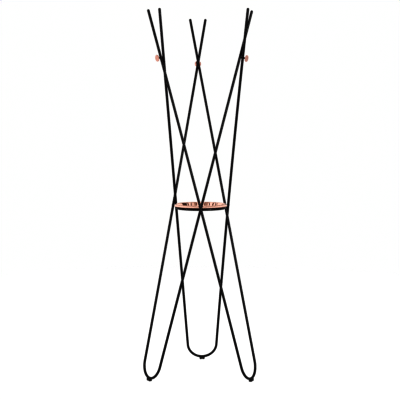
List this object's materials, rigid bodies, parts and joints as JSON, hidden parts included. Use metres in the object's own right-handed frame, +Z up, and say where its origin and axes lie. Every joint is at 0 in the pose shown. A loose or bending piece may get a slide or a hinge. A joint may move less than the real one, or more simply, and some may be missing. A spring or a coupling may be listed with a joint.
{
  "type": "standing coat rack",
  "caption": "Free-standing coat rack of bent black rods that cross and lean together, with copper-coloured knobs and a round lift-out tray resting in a ring at its waist.",
  "frame": {"origin": "on the floor, in the middle of the box that bounds the whole stand in plan; the stand's own upright axis is at x 3.7 mm, y -42.6 mm", "axes": "+Z up, +Y towards the rear foot, +X to the right as seen from the front"},
  "size_m": [0.5554, 0.5008, 1.7809],
  "materials": {
    "black_rod": "satin black powder coat",
    "black_screw": "black oxide, satin",
    "copper": "copper plated, mirror polished",
    "black_plastic": "matt moulded nylon"
  },
  "bodies": {
    "stand": {"hairpin_rear": "black_rod", "hairpin_left": "black_rod", "hairpin_right": "black_rod", "support_ring": "black_rod", "coat_knob_rear": "copper", "coat_knob_left": "copper", "coat_knob_right": "copper", "knob_collar_rear": "black_rod", "knob_collar_left": "black_rod", "knob_collar_right": "black_rod", "knob_stud_rear": "black_screw", "knob_stud_left": "black_screw", "knob_stud_right": "black_screw", "crown_spacer_rear": "black_rod", "crown_spacer_left": "black_rod", "crown_spacer_right": "black_rod", "waist_screw_front": "black_screw", "waist_screw_rear_left": "black_screw", "waist_screw_rear_right": "black_screw", "waist_spacer_front": "black_rod", "waist_spacer_rear_left": "black_rod", "waist_spacer_rear_right": "black_rod", "ring_standoff_front": "black_rod", "ring_standoff_rear_left": "black_rod", "ring_standoff_rear_right": "black_rod", "floor_glide_rear": "black_plastic", "floor_glide_left": "black_plastic", "floor_glide_right": "black_plastic"},
    "tray": {"tray": "copper"}
  },
  "joints": [
    {"name": "tray_lift", "type": "slide", "parent": "stand", "child": "tray", "axis": [0, 0, 1], "range_m": [0, 0.98]}
  ]
}
